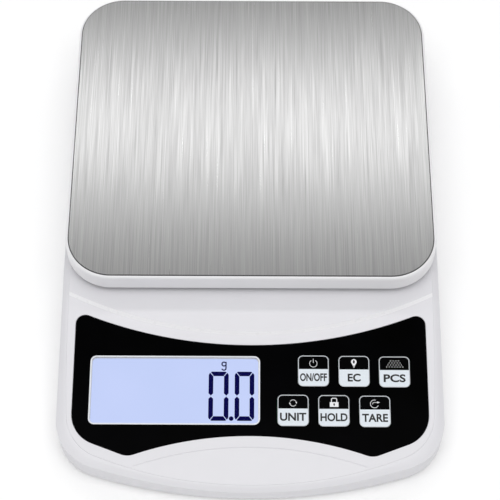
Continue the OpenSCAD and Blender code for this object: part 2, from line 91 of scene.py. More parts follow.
def add_area_light(name, place, target, size, power):
    light = bpy.data.lights.new(name, "AREA")
    light.shape = "RECTANGLE"
    light.size, light.size_y = size
    light.energy = power
    holder = bpy.data.objects.new(name, light)
    bpy.context.scene.collection.objects.link(holder)
    holder.location = place
    facing = Vector(target) - Vector(place)
    holder.rotation_euler = facing.to_track_quat("-Z", "Y").to_euler()


def light_studio():
    world = bpy.data.worlds.new("studio")
    bpy.context.scene.world = world
    world.use_nodes = True
    sky = world.node_tree.nodes["Background"]
    sky.inputs["Color"].default_value = (1.0, 1.0, 1.0, 1)
    sky.inputs["Strength"].default_value = DOME_STRENGTH
    for name, light in LIGHTS.items():
        add_area_light(name, *light)
    bpy.context.scene.view_settings.view_transform = "Standard"


add_camera()
light_studio()


# ---------- materials ----------

# most values of the noise patterns lie between these two
NOISE_LOW = 0.3
NOISE_HIGH = 0.7


class Finish:
    """One node material with the few helpers that every finish here needs."""

    def __init__(self, name):
        self.material = bpy.data.materials.new(name)
        self.material.use_nodes = True
        self.nodes = self.material.node_tree.nodes
        self.links = self.material.node_tree.links
        self.shader = self.nodes["Principled BSDF"]
        self.place = self.nodes.new("ShaderNodeTexCoord").outputs["Object"]

    def value(self, socket, number):
        self.shader.inputs[socket].default_value = number

    def colour(self, colour):
        self.value("Base Color", (*colour, 1))

    def stretched(self, scale):
        mapping = self.nodes.new("ShaderNodeMapping")
        mapping.inputs["Scale"].default_value = scale
        self.links.new(self.place, mapping.inputs["Vector"])
        return mapping.outputs["Vector"]

    def noise(self, size, detail=2.0, stretch=(1, 1, 1), rough=0.5):
        """Cloudy pattern; size is its feature size in millimetres along each axis."""
        scale = [1 / (size * MM * s) for s in stretch]
        noise = self.nodes.new("ShaderNodeTexNoise")
        noise.inputs["Scale"].default_value = 1
        noise.inputs["Detail"].default_value = detail
        noise.inputs["Roughness"].default_value = rough
        self.links.new(self.stretched(scale), noise.inputs["Vector"])
        return noise.outputs["Fac"]

    def ramp(self, factor, low, high):
        ramp = self.nodes.new("ShaderNodeValToRGB")
        ramp.color_ramp.elements[0].position = NOISE_LOW
        ramp.color_ramp.elements[1].position = NOISE_HIGH
        ramp.color_ramp.elements[0].color = (*low, 1)
        ramp.color_ramp.elements[1].color = (*high, 1)
        self.links.new(factor, ramp.inputs["Fac"])
        return ramp.outputs["Color"]

    def span(self, factor, low, high):
        mapped = self.nodes.new("ShaderNodeMapRange")
        mapped.inputs["From Min"].default_value = NOISE_LOW
        mapped.inputs["From Max"].default_value = NOISE_HIGH
        mapped.inputs["To Min"].default_value = low
        mapped.inputs["To Max"].default_value = high
        self.links.new(factor, mapped.inputs["Value"])
        return mapped.outputs["Result"]

    def into(self, socket, output):
        self.links.new(output, self.shader.inputs[socket])

    def bump(self, height, depth, strength=1.0):
        """Relief from a pattern; depth is its height in millimetres."""
        bump = self.nodes.new("ShaderNodeBump")
        bump.inputs["Strength"].default_value = strength
        bump.inputs["Distance"].default_value = depth * MM
        self.links.new(height, bump.inputs["Height"])
        self.into("Normal", bump.outputs["Normal"])


def shade(colour, factor):
    return tuple(min(1, c * factor) for c in colour)


def moulded(name, colour, rough=0.42, grain=0.25, relief=0.006, change=0.03, gloss=0.5):
    """Moulded plastic: faint cloudy colour, uneven sheen and a fine grain."""
    finish = Finish(name)
    clouds = finish.noise(14, 3)
    finish.into("Base Color", finish.ramp(clouds, shade(colour, 1 - change), colour))
    finish.into("Roughness", finish.span(finish.noise(3, 3), rough - 0.05, rough + 0.06))
    finish.value("Specular IOR Level", gloss)
    finish.bump(finish.noise(grain, 2), relief)
    return finish.material


def metal(name, colour, rough=0.3, grain=0.5, relief=0.004, stretch=(1, 1, 1)):
    """Bare metal with faint tool marks that run along the stretched axis."""
    finish = Finish(name)
    marks = finish.noise(grain, 3, stretch)
    finish.into("Base Color", finish.ramp(marks, shade(colour, 0.86), colour))
    finish.into("Roughness", finish.span(finish.noise(2, 2), rough - 0.06, rough + 0.1))
    finish.value("Metallic", 1)
    finish.bump(marks, relief)
    return finish.material


def brushed_steel():
    """Stainless steel brushed front to rear: long hair lines of several widths."""
    finish = Finish("brushed_steel")
    fine = finish.noise(0.32, 2, (1, 160, 1), 0.75)
    wide = finish.noise(1.3, 2, (1, 60, 1), 0.6)
    blend = finish.nodes.new("ShaderNodeMix")
    blend.inputs["Factor"].default_value = 0.3
    finish.links.new(fine, blend.inputs["A"])
    finish.links.new(wide, blend.inputs["B"])
    lines = blend.outputs["Result"]
    finish.into("Base Color", finish.ramp(lines, (0.24, 0.24, 0.24), (0.39, 0.39, 0.388)))
    finish.into("Roughness", finish.span(lines, 0.36, 0.27))
    finish.value("Metallic", 1)
    finish.value("Anisotropic", 0.75)
    tangent = finish.nodes.new("ShaderNodeTangent")
    tangent.direction_type = "UV_MAP"
    finish.into("Tangent", tangent.outputs["Tangent"])
    finish.bump(lines, 0.0012)
    return finish.material


def panel_film_black():
    finish = Finish("panel_film_black")
    finish.into("Base Color",
                finish.ramp(finish.noise(20, 2), (0.0008,) * 3, (0.0013, 0.0013, 0.0017)))
    finish.into("Roughness", finish.span(finish.noise(6, 3), 0.08, 0.13))
    finish.value("Specular IOR Level", 0.006)
    finish.bump(finish.noise(30, 2), 0.01, 0.5)
    return finish.material


def window_clear():
    """Clear hard-coated sheet: see-through, with a weak gloss."""
    finish = Finish("window_clear")
    finish.into("Roughness", finish.span(finish.noise(5, 3), 0.06, 0.1))
    finish.colour((0.02, 0.02, 0.03))
    finish.value("Specular IOR Level", 0.03)
    finish.value("Alpha", 0.03)
    return finish.material


def lit(name, low, high, strength, size=25):
    """A lit face: a smooth, slightly uneven glow."""
    finish = Finish(name)
    glow = finish.ramp(finish.noise(size, 1), low, high)
    finish.into("Emission Color", glow)
    finish.value("Emission Strength", strength)
    finish.colour((0.02, 0.02, 0.03))
    finish.value("Specular IOR Level", 0.1)
    return finish.material


def printed(name, colour, rough=0.35, gloss=0.3):
    """Screen-printed ink: slightly uneven cover."""
    finish = Finish(name)
    finish.into("Base Color", finish.ramp(finish.noise(0.6, 3), shade(colour, 0.94), colour))
    finish.into("Roughness", finish.span(finish.noise(1, 2), rough - 0.05, rough + 0.05))
    finish.value("Specular IOR Level", gloss)
    finish.bump(finish.noise(0.15, 2), 0.002)
    return finish.material


FINISHES = {
    "housing_white": moulded("housing_white", (0.725, 0.72, 0.75), 0.4, 0.3, 0.004, 0.015),
    # painted light: tray_white is set well lighter than housing_white, standing in for the stronger light on the
    # tray's skirt
    "tray_white": moulded("tray_white", (0.85, 0.845, 0.865), 0.4, 0.3, 0.004, 0.015),
    "foot_rubber": moulded("foot_rubber", (0.35, 0.35, 0.36), 0.75, 0.4, 0.02, 0.1, 0.3),
    "screw_steel": metal("screw_steel", (0.62, 0.62, 0.63), 0.3, 0.4),
    "panel_black": panel_film_black(),
    "window_clear": window_clear(),
    "bezel_white": moulded("bezel_white", (0.85, 0.86, 0.9), 0.5),
    "display_blue": lit("display_blue", (0.555, 0.65, 0.965), (0.575, 0.665, 0.985), 1.0),
    "light_guide": lit("light_guide", (0.7, 0.78, 1.0), (0.75, 0.82, 1.0), 1.0),
    "seal_rubber": moulded("seal_rubber", (0.05, 0.05, 0.055), 0.7, 0.3, 0.01, 0.2, 0.3),
    "key_face": moulded("key_face", (0.0008, 0.0008, 0.001), 0.2, 0.2, 0.001, 0.2, 0.015),
    "switch_stem": moulded("switch_stem", (0.35, 0.22, 0.12), 0.4),
    "switch_black": moulded("switch_black", (0.02, 0.02, 0.022), 0.4),
    "board_green": moulded("board_green", (0.02, 0.16, 0.06), 0.3, 1.2, 0.01, 0.25),
    "chip_black": moulded("chip_black", (0.018, 0.018, 0.02), 0.6, 0.12, 0.006),
    "component_tan": moulded("component_tan", (0.42, 0.3, 0.17), 0.4, 0.4),
    "socket_ivory": moulded("socket_ivory", (0.75, 0.71, 0.6), 0.45),
    "cell_aluminium": metal("cell_aluminium", (0.72, 0.73, 0.74), 0.32, 0.3, 0.003, (1, 30, 1)),
    "spacer_aluminium": metal("spacer_aluminium", (0.66, 0.67, 0.68), 0.35, 0.4),
    "lead_cover": moulded("lead_cover", (0.5, 0.03, 0.03), 0.45),
    "battery_jacket": printed("battery_jacket", (0.12, 0.32, 0.16), 0.3, 0.5),
    "contact_nickel": metal("contact_nickel", (0.68, 0.66, 0.6), 0.25, 0.6),
    "plate_steel": brushed_steel(),
    "adhesive_foam": moulded("adhesive_foam", (0.7, 0.7, 0.68), 0.8, 0.2, 0.02),
    "label_blank": printed("label_blank", (0.78, 0.79, 0.8), 0.4, 0.4),
}
# painted highlight: the step's face gets a lighter white than the housing, standing in for the bright line of
# light along the step
STEP_HIGHLIGHT_WHITE = moulded("step_painted_highlight", (0.87, 0.865, 0.885), 0.3, 0.3, 0.004, 0.015)
CUT_EDGE = metal("cut_edge", (0.07, 0.07, 0.072), 0.45, 0.4)
INK_BLACK = printed("ink_black", (0.008, 0.008, 0.009))
INK_PALE = printed("ink_pale", (0.73, 0.785, 0.84))
INK_WHITE = printed("ink_white", (0.82, 0.82, 0.84))
INK_SILVER = printed("ink_silver", (0.56, 0.59, 0.62), 0.3, 0.6)
INK_RIM = printed("ink_rim", (0.80, 0.82, 0.86))
DIGIT_DARK = printed("digit_dark", (0.003, 0.003, 0.07), 0.5, 0.0)


def dress_frame():
    """Gives every CAD node the finish of its slot in the record."""
    slot_of = {}
    for part in frame["record"]["subparts"]:
        slot_of[part["node"]] = part["material_slot"]
    for name, holder in frame["nodes"].items():
        finish = FINISHES[slot_of[name]]
        if not holder.material_slots:
            holder.data.materials.append(finish)
        for place in holder.material_slots:
            place.material = finish


dress_frame()


# ---------- mesh helpers ----------

SAME_POINT = 0.002
TINY = 1e-6


def closed_loop(bm, points):
    """A ring of edges through the points; each edge starts at its own point."""
    verts = [bm.verts.new(p) for p in points]
    return [bm.edges.new((a, b)) for a, b in zip(verts, verts[1:] + verts[:1])]


def fill(bm, edges, surface=0, facing=(0, 0, 1)):
    """Faces inside the outer ring and outside the inner ones, seen square along facing."""
    verts = list({v for e in edges for v in e.verts})
    number = {v: i for i, v in enumerate(verts)}
    turn = Vector(facing).rotation_difference(Vector((0, 0, 1))).to_matrix()
    flat = [(turn @ v.co).to_2d() for v in verts]
    lines = [(number[e.verts[0]], number[e.verts[1]]) for e in edges]
    spots, _, faces, first, _, _ = delaunay_2d_cdt(flat, lines, [], 0, TINY)

    def is_inside(point):
        crossed = 0
        for i, j in lines:
            a, b = flat[i], flat[j]
            if (a.y > point.y) != (b.y > point.y):
                crossed += point.x < a.x + (point.y - a.y) / (b.y - a.y) * (b.x - a.x)
        return crossed % 2 == 1

    layer = bm.faces.layers.int["surface"]
    for face in faces:
        if is_inside(sum((spots[i] for i in face), Vector((0, 0))) / len(face)):
            bm.faces.new([verts[first[i][0]] for i in face])[layer] = surface


def new_shape():
    """An empty mesh; faces carry a surface number and loft points a station number."""
    bm = bmesh.new()
    bm.faces.layers.int.new("surface")
    bm.verts.layers.int.new("station")
    return bm


def loft(bm, rings, surfaces=None):
    """A skin through rings of points: the first ring is drawn and the rest extruded."""
    layer = bm.verts.layers.int["station"]
    faces_layer = bm.faces.layers.int["surface"]
    edges = closed_loop(bm, rings[0])
    for index, edge in enumerate(edges):
        edge.verts[0][layer] = index
    for step, ring in enumerate(rings[1:]):
        made = bmesh.ops.extrude_edge_only(bm, edges=edges)["geom"]
        for part in made:
            if isinstance(part, bmesh.types.BMVert):
                part.co = ring[part[layer]]
            elif isinstance(part, bmesh.types.BMFace):
                part[faces_layer] = surfaces[step] if surfaces else 0
        edges = [g for g in made if isinstance(g, bmesh.types.BMEdge)
                 and len(g.link_faces) == 1]


def finish_piece(bm, name, body, finishes, stands_for=(), sharp=32, second=()):
    """Closes the mesh, scales it to metres, and hangs it on its body. The surfaces named
    in second take the second finish."""
    bmesh.ops.remove_doubles(bm, verts=bm.verts, dist=SAME_POINT)
    bmesh.ops.recalc_face_normals(bm, faces=bm.faces)
    layer = bm.faces.layers.int.get("surface")
    limit = math.radians(sharp)
    for edge in bm.edges:
        if len(edge.link_faces) != 2:
            continue
        a, b = edge.link_faces
        if edge.calc_face_angle(0) > limit or (layer and a[layer] != b[layer]):
            edge.smooth = False
    for face in bm.faces:
        face.smooth = True
        if second:
            face.material_index = int(face[layer] in second)
    bmesh.ops.scale(bm, vec=(MM, MM, MM), verts=bm.verts)
    mesh = bpy.data.meshes.new(name)
    bm.to_mesh(mesh)
    bm.free()
    for finish in finishes:
        mesh.materials.append(finish)
    piece = bpy.data.objects.new(name, mesh)
    bpy.context.scene.collection.objects.link(piece)
    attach(piece, body)
    if stands_for:
        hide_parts(*stands_for)
    return piece


def arc(centre, radius, start, end, count):
    """Points on a plan arc, angles in degrees, both ends included."""
    turn = [math.radians(start + (end - start) * i / count) for i in range(count + 1)]
    return [Vector((centre[0] + radius * math.cos(a), centre[1] + radius * math.sin(a), 0))
            for a in turn]


def rounded_rect(width, length, radius, centre=(0, 0), z=0.0, steps=8):
    """Points round a rectangle with round corners."""
    points = []
    for quarter, (sx, sy) in enumerate(((1, 1), (-1, 1), (-1, -1), (1, -1))):
        corner = (centre[0] + sx * (width / 2 - radius), centre[1] + sy * (length / 2 - radius))
        points += arc(corner, radius, 90 * quarter, 90 * quarter + 90, steps)
    return [p + Vector((0, 0, z)) for p in points]


# ---------- the housing's lines ----------

housing_low, housing_high = node_box("top_housing")
BODY_W = housing_high.x - housing_low.x
BODY_L = housing_high.y - housing_low.y
ROOF_Z = housing_high.z
SKIRT_Z = housing_low.z
CORNER_R = 22
BOW_R = 230
WALL = 2
ROOF_T = 2.6
STEP_H = 1.1
STEP_W = 1.2
STEP_R = 182
DECK_Y = -33
ROLL = 9
LIP_H = 1.9
LIP_MIDDLE_W = 2.8
LIP_SIDE_EXTRA = 0.4
LIP_CORNER_EXTRA = 2.0
LIP_CORNER_SPREAD = 26
SCOOP_Y = -101.6
SCOOP_R = 1350
SCOOP_TILT = math.radians(13.1)
SCOOP_LINE_W = 0.4
SCOOP_LINE_D = 0.2
RECESS = 0.6
SKIRT_ROUND = 0.3
PANEL_GAP = 0.15
ROLL_RUN = 12
STATION_GAP = 0.35
# the tray's block over the load cell, and the roof's opening round it:
# width, length and corner radius
BOSS_MIDDLE = (0, 73.1)
BOSS_BLOCK = (20, 24, 2)
BOSS_OPENING = (25, 29, 3)

press_axis = next(j for j in frame["joints"] if j["name"] == "press_on_off")["axis"]
DECK_TILT = math.atan2(-press_axis[1], press_axis[2])
DECK_SLOPE = math.tan(DECK_TILT)

corner_x = BODY_W / 2 - CORNER_R
bow_y = -BODY_L / 2 + BOW_R
front_corner_y = bow_y - math.sqrt((BOW_R - CORNER_R) ** 2 - corner_x ** 2)
rear_corner_y = BODY_L / 2 - CORNER_R
STEP_BOW = 18.1
step_y = DECK_Y - STEP_BOW + STEP_R


def deck_z(y):
    """Height of the panel's plane."""
    return ROOF_Z - STEP_H + DECK_SLOPE * (y - DECK_Y)


def roof_height(y):
    """Height of the housing behind the step: flat, then rolling over to the deck's slope."""
    past = max(-ROLL, min(ROLL, y - DECK_Y))
    return ROOF_Z + DECK_SLOPE * (min(0, y - DECK_Y + ROLL) - (ROLL - past) ** 2 / (4 * ROLL))


def scoop_z(x, y):
    """Height of the shallow scoop in the front of the deck."""
    dish = SCOOP_R - math.sqrt(SCOOP_R ** 2 - x * x)
    return (deck_z(SCOOP_Y) + math.tan(SCOOP_TILT) * (y - SCOOP_Y)
            + dish / math.cos(SCOOP_TILT))


class RimPath:
    """Right half of the plan outline, walked from the front middle to the rear middle."""

    def __init__(self):
        lean = math.atan2(front_corner_y - bow_y, corner_x)
        self.lean = lean
        self.bow = BOW_R * (lean + math.pi / 2)
        self.front = CORNER_R * -lean
        self.side = rear_corner_y - front_corner_y
        self.rear = CORNER_R * math.pi / 2
        self.length = self.bow + self.front + self.side + self.rear + corner_x

    def at(self, s):
        """Point and outward direction at a distance along the outline."""
        if s < self.bow:
            a = -math.pi / 2 + s / BOW_R
            out = Vector((math.cos(a), math.sin(a), 0))
            return Vector((0, bow_y, 0)) + BOW_R * out, out
        s -= self.bow
        if s < self.front:
            a = self.lean + s / CORNER_R
            out = Vector((math.cos(a), math.sin(a), 0))
            return Vector((corner_x, front_corner_y, 0)) + CORNER_R * out, out
        s -= self.front
        if s < self.side:
            return Vector((BODY_W / 2, front_corner_y + s, 0)), Vector((1, 0, 0))
        s -= self.side
        if s < self.rear:
            a = s / CORNER_R
            out = Vector((math.cos(a), math.sin(a), 0))
            return Vector((corner_x, rear_corner_y, 0)) + CORNER_R * out, out
        s -= self.rear
        return Vector((corner_x - s, BODY_L / 2, 0)), Vector((0, 1, 0))

    def lip(self, s):
        """Width of the rounded lip: widest round the front corners."""
        middle = self.bow + self.front / 2
        near = math.exp(-((s - middle) / LIP_CORNER_SPREAD) ** 2)
        side = min(1, s / self.bow)
        return LIP_MIDDLE_W + LIP_SIDE_EXTRA * side + LIP_CORNER_EXTRA * near

    def crease(self, s):
        point, out = self.at(s)
        return point - self.lip(s) * out

    def solve(self, test, low, high):
        """Distance at which the test changes sign."""
        for _ in range(50):
            middle = (low + high) / 2
            if (test(low) > 0) == (test(middle) > 0):
                low = middle
            else:
                high = middle
        return low


rim = RimPath()


def step_gap(reach):
    """How far the lip's crease lies outside a circle about the step's centre."""
    def gap(s):
        place = rim.crease(s)
        return math.hypot(place.x, place.y - step_y) - reach
    return gap


def scoop_gap(s):
    place = rim.crease(s)
    return scoop_z(place.x, place.y) - deck_z(place.y)


side_start = rim.bow + rim.front
side_end = side_start + rim.side
step_top_s = rim.solve(step_gap(STEP_R), side_start, side_end)
step_low_s = rim.solve(step_gap(STEP_R + STEP_W), side_start, side_end)
scoop_end_s = rim.solve(scoop_gap, 10, side_start)
FOLD_Y = DECK_Y + STEP_H / DECK_SLOPE
fold_s = side_start + FOLD_Y - front_corner_y
roll_s = step_top_s + ROLL_RUN


def stations():
    """Distances along the outline at which the housing's rings have a point."""
    spots = [rim.bow * i / 26 for i in range(26)]
    spots += [rim.bow + rim.front * i / 18 for i in range(18)]
    spots += [side_start + rim.side * i / 14 for i in range(14)]
    spots += [side_end + rim.rear * i / 16 for i in range(16)]
    spots += [side_end + rim.rear + corner_x * i / 5 for i in range(6)]
    extra = [step_top_s, step_low_s, scoop_end_s, fold_s, roll_s]
    spots = [s for s in spots if all(abs(s - e) > STATION_GAP for e in extra)]
    return sorted(spots + extra)


half = stations()
ring_stations = [(1, s) for s in half] + [(-1, s) for s in reversed(half[1:-1])]


def mirrored(side, point):
    return Vector((side * point.x, point.y, point.z))


def crease_point(side, s):
    """The line where the deck or roof turns down into the rounded lip."""
    place = rim.crease(s)
    if s >= step_top_s - TINY:
        place.z = roof_height(place.y)
    elif s > scoop_end_s + TINY:
        place.z = deck_z(place.y)
    else:
        place.z = scoop_z(place.x, place.y)
    return mirrored(side, place)


def lip_foot_z(s):
    """Height at which the rounded lip meets the upright wall."""
    place = rim.crease(s)
    top = min(ROOF_Z, deck_z(place.y), scoop_z(place.x, place.y) if s < side_start else 99)
    return top - LIP_H


LIP_STEPS = 5
GROOVE = 0.25
LIP_START = math.radians(26)
LIP_END = math.radians(42)


def lip_point(side, s, k):
    """Point k of the lip's section, from the crease out to the wall."""
    turn = LIP_START + (LIP_END - LIP_START) * k / LIP_STEPS
    out_share = (math.sin(turn) - math.sin(LIP_START)) / (math.sin(LIP_END) - math.sin(LIP_START))
    down_share = (math.cos(LIP_START) - math.cos(turn)) / (math.cos(LIP_START) - math.cos(LIP_END))
    top = crease_point(1, s)
    wall_point, out = rim.at(s)
    place = wall_point - rim.lip(s) * (1 - out_share) * out
    place.z = top.z + (lip_foot_z(s) - top.z) * down_share
    return mirrored(side, place)


def groove_ring():
    """Bottom of the fine groove just outside the crease."""
    ring = []
    for side, s in ring_stations:
        near = lip_point(side, s, 0)
        far = lip_point(side, s, LIP_STEPS)
        place = near.lerp(far, GROOVE / rim.lip(s))
        place.z = near.z - GROOVE
        ring.append(place)
    return ring


def wall_ring(inset, z):
    ring = []
    for side, s in ring_stations:
        point, out = rim.at(s)
        place = point - inset * out
        place.z = z
        ring.append(mirrored(side, place))
    return ring


def underside_ring():
    ring = []
    for side, s in ring_stations:
        point, out = rim.at(s)
        place = point - WALL * out
        place.z = min(ROOF_Z, deck_z(place.y)) - ROOF_T
        ring.append(mirrored(side, place))
    return ring


# ---------- the panel's lines, in the panel's own frame ----------

glass_low, glass_high = node_box("lcd_glass")
GLASS_DEPTH = 3.45
glass_middle = (glass_low + glass_high) / 2
tilt_up = Matrix.Rotation(DECK_TILT, 4, "X")
panel_origin = glass_middle - tilt_up @ Vector((glass_middle.x, 0, -GLASS_DEPTH))
PANEL = Matrix.Translation(panel_origin) @ tilt_up
PANEL_UP = tilt_up @ Vector((0, 0, 1))
WINDOW_X = glass_middle.x

film_low, film_high = node_box("panel_film")
FILM_W = film_high.x - film_low.x
window_low, window_high = node_box("display_window")
WINDOW_W = window_high.x - window_low.x
WINDOW_L = (window_high.y - window_low.y - math.sin(DECK_TILT)) / math.cos(DECK_TILT)
WINDOW_CORNER = 2.6


def on_panel(points):
    return [PANEL @ p for p in points]


def raised(points, z):
    return [Vector((p.x, p.y, z)) for p in points]


def film_ring(grow=0.0, z=0.0):
    """Outline of the black film: two arcs, two lobes, round tips."""
    side_r, tip_r, lobe_r, top_r, low_r = 14, 4, 8, 192, 150
    top_centre = (0, 20.2 + top_r)
    low_centre = (0, -20.1 - low_r)
    side_centre = (FILM_W / 2 - side_r, -10.5)
    point_y = -48.7
    tip_x = FILM_W / 2 - tip_r
    tip_y = top_centre[1] - math.sqrt((top_r + tip_r) ** 2 - tip_x ** 2)
    reach = math.hypot(side_centre[0], side_centre[1] - point_y)
    lean = math.atan2(side_centre[1] - point_y, side_centre[0]) - math.asin(side_r / reach)
    along = Vector((math.cos(lean), math.sin(lean)))
    across = Vector((-along.y, along.x))
    # the lobe's tip touches the lean line and the lower arc
    base = Vector((0, point_y)) + lobe_r * across - Vector(low_centre)
    drop = base.dot(along)
    run = -drop + math.sqrt(drop ** 2 - base.length_squared + (low_r + lobe_r) ** 2)
    lobe = Vector((0, point_y)) + lobe_r * across + run * along
    tip_turn = math.degrees(math.atan2(tip_y - top_centre[1], tip_x))
    lobe_turn = math.degrees(math.atan2(lobe.y - low_centre[1], lobe.x))
    lean_turn = math.degrees(lean) - 90
    half_ring = arc(top_centre, top_r - grow, -90, tip_turn, 24)
    half_ring += arc((tip_x, tip_y), tip_r + grow, tip_turn + 180, 0, 12)
    half_ring += arc(side_centre, side_r + grow, 0, lean_turn, 14)
    half_ring += arc(lobe, lobe_r + grow, lean_turn, lobe_turn - 180, 14)
    half_ring += arc(low_centre, low_r - grow, lobe_turn, 90, 24)
    ring = half_ring + [Vector((-p.x, p.y, 0)) for p in reversed(half_ring[1:-1])]
    return raised(ring, z)


def window_ring(grow=0.0, z=0.0):
    return rounded_rect(WINDOW_W + 2 * grow, WINDOW_L + 2 * grow, WINDOW_CORNER + grow,
                        (WINDOW_X, 0), z)


KEYS = ["on_off", "backlight", "count", "unit", "hold", "tare"]


def key_centre(name):
    """Middle of a key on the panel, from its switch stem."""
    low, high = node_box("stem_" + name)
    place = PANEL.inverted() @ ((low + high) / 2)
    return place.x, place.y


KEY_W = 13.4
KEY_L = 14.0
KEY_CORNER = 2.2
KEY_GAP = 0.25


def key_ring(name, grow=0.0, z=0.0):
    return rounded_rect(KEY_W + 2 * grow, KEY_L + 2 * grow, max(0.3, KEY_CORNER + grow),
                        key_centre(name), z, 6)


# ---------- top housing ----------

ROOF, STEP, DECK, SCOOP_LINE, SCOOP, LIP, WALLS, RECESS_WALL, FLOOR = range(9)


def arc_over(reach, lift, side_s, count=48):
    """The curved step's line, from the right crease to the left one."""
    end = rim.crease(side_s)
    turn = math.atan2(end.y - step_y, end.x)
    points = arc((0, step_y), reach, math.degrees(turn), -180 - math.degrees(turn), count)
    for p in points:
        p.z = lift(p.y)
    points[0] = crease_point(1, side_s)
    points[-1] = crease_point(-1, side_s)
    return points


def scoop_line(count=36):
    """Where the scoop leaves the deck, from the right crease to the left one."""
    end = crease_point(1, scoop_end_s)
    rise = math.tan(SCOOP_TILT) - DECK_SLOPE
    points = []
    for i in range(count + 1):
        x = end.x * (1 - 2 * i / count)
        dish = (SCOOP_R - math.sqrt(SCOOP_R ** 2 - x * x)) / math.cos(SCOOP_TILT)
        y = SCOOP_Y - dish / rise
        points.append(Vector((x, y, deck_z(y))))
    points[0], points[-1] = end, crease_point(-1, scoop_end_s)
    return points


def shifted(line, forward, down):
    """The line moved to the front and down, but for its ends."""
    moved = [p - Vector((0, forward, down)) for p in line]
    return [line[0]] + moved[1:-1] + [line[-1]]


def crease_run(start, end, side=1):
    """Crease points between two stations, in walking order."""
    run = [s for s in half if min(start, end) - TINY <= s <= max(start, end) + TINY]
    if start > end:
        run.reverse()
    return [crease_point(side, s) for s in run]


def region(bm, runs, holes=(), surface=0, facing=PANEL_UP):
    """Fills one face region between lines that join end to end, less its holes."""
    ring = []
    for run in runs:
        ring += run if not ring else run[1:]
    ring = ring[:-1]
    edges = closed_loop(bm, ring)
    for hole in holes:
        edges += closed_loop(bm, hole)
    fill(bm, edges, surface, facing)


def build_top_housing():
    bm = new_shape()

    # rim: lip, upright wall, rounded foot of the skirt, inner wall
    rings = [[lip_point(side, s, k) for side, s in ring_stations]
             for k in range(LIP_STEPS + 1)]
    rings.insert(1, groove_ring())
    rings.append(wall_ring(0, SKIRT_Z + SKIRT_ROUND))
    rings.append(wall_ring(SKIRT_ROUND, SKIRT_Z))
    rings.append(wall_ring(WALL, SKIRT_Z))
    rings.append(underside_ring())
    loft(bm, rings, [LIP] * (LIP_STEPS + 1) + [WALLS] * 4)

    # flat roof with the boss opening, the part that rolls down, and the step's face
    fold = [crease_point(-1, step_top_s), crease_point(1, step_top_s)]
    boss_ring = rounded_rect(*BOSS_OPENING, BOSS_MIDDLE, ROOF_Z)
    end = half[-1]
    roll = [crease_point(-1, roll_s), crease_point(1, roll_s)]
    region(bm, [crease_run(roll_s, end), crease_run(end, roll_s, -1), roll],
           [boss_ring], ROOF, (0, 0, 1))
    region(bm, [roll[::-1], crease_run(roll_s, step_top_s, -1), fold,
                crease_run(step_top_s, roll_s)], (), ROOF, (0, 0, 1))
    step_top = arc_over(STEP_R, roof_height, step_top_s)
    step_low = arc_over(STEP_R + STEP_W, deck_z, step_low_s)
    region(bm, [fold[::-1], step_top[::-1]], (), ROOF)
    region(bm, [step_top, crease_run(step_top_s, step_low_s, -1), step_low[::-1],
                crease_run(step_low_s, step_top_s)], (), STEP)

    # deck round the film's recess, and the scoop in front of it
    recess_top = on_panel(film_ring(PANEL_GAP, 0))
    scoop_edge = scoop_line()
    region(bm, [step_low, crease_run(step_low_s, scoop_end_s, -1), scoop_edge[::-1],
                crease_run(scoop_end_s, step_low_s)], [recess_top], DECK)
    scoop_foot = shifted(scoop_edge, 0.4 * SCOOP_LINE_W, SCOOP_LINE_D)
    scoop_in = shifted(scoop_edge, SCOOP_LINE_W, SCOOP_LINE_D / 4)
    region(bm, [scoop_edge, scoop_foot[::-1]], (), SCOOP_LINE)
    region(bm, [scoop_foot, scoop_in[::-1]], (), SCOOP_LINE)
    region(bm, [scoop_in, crease_run(scoop_end_s, 0, -1), crease_run(0, scoop_end_s)],
           (), SCOOP)

    # recess, openings and underside
    loft(bm, [recess_top, on_panel(film_ring(PANEL_GAP, -RECESS))], [RECESS_WALL])
    openings = [window_ring(PANEL_GAP)] + [key_ring(name, KEY_GAP) for name in KEYS]
    floor_edges = closed_loop(bm, on_panel(film_ring(PANEL_GAP, -RECESS)))
    for ring in openings:
        top = on_panel(raised(ring, -RECESS))
        low = on_panel(raised(ring, -ROOF_T))
        floor_edges += closed_loop(bm, top)
        loft(bm, [top, low], [RECESS_WALL])
    fill(bm, floor_edges, FLOOR, PANEL_UP)
    build_underside(bm, [on_panel(raised(ring, -ROOF_T)) for ring in openings], boss_ring)
    # the step's faces take the lighter white, a painted highlight
    finish_piece(bm, "top_housing_shell", "housing",
                 [FINISHES["housing_white"], STEP_HIGHLIGHT_WHITE], ["top_housing"],
                 second=[STEP])


def build_underside(bm, panel_holes, boss_ring):
    """Inner face of the shell: a flat part, and a sloped part under the deck."""
    ring = underside_ring()
    flat_z = ROOF_Z - ROOF_T
    front = [p for p in ring if p.y < FOLD_Y + 0.01]
    # the ring starts at the front middle, so its front part runs on over the end
    first_left = next(i for i, p in enumerate(front) if p.x < -TINY)
    front = front[first_left:] + front[:first_left]
    edges = closed_loop(bm, front)
    for hole in panel_holes:
        edges += closed_loop(bm, hole)
    fill(bm, edges, FLOOR, PANEL_UP)
    rear = [p for p in ring if p.y > FOLD_Y - 0.01]
    hole = raised(boss_ring, flat_z)
    fill(bm, closed_loop(bm, rear) + closed_loop(bm, hole), FLOOR)
    loft(bm, [boss_ring, hole], [RECESS_WALL])


build_top_housing()


# ---------- platform ----------

plate_low, plate_high = node_box("platform_plate")
tray_low, tray_high = node_box("platform_tray")
PLATE_W = plate_high.x - plate_low.x
PLATE_L = plate_high.y - plate_low.y
TRAY_W = tray_high.x - tray_low.x
TRAY_L = tray_high.y - tray_low.y
TRAY_Y = (tray_low.y + tray_high.y) / 2
PLATE_R = 19.5
TRAY_R = PLATE_R + (TRAY_W - PLATE_W) / 2
SKIRT_BOTTOM = 27.2
SKIRT_EDGE = 0.25
TRAY_WALL = 1.8
TRAY_SEAT = 35.5
TRAY_SEAT_T = 2
EDGE_IN = 1.05
EDGE_DOWN = 1.8
RIM_IN = 1.18
RIM_DROP = 0.14
UV_PER_METRE = 5


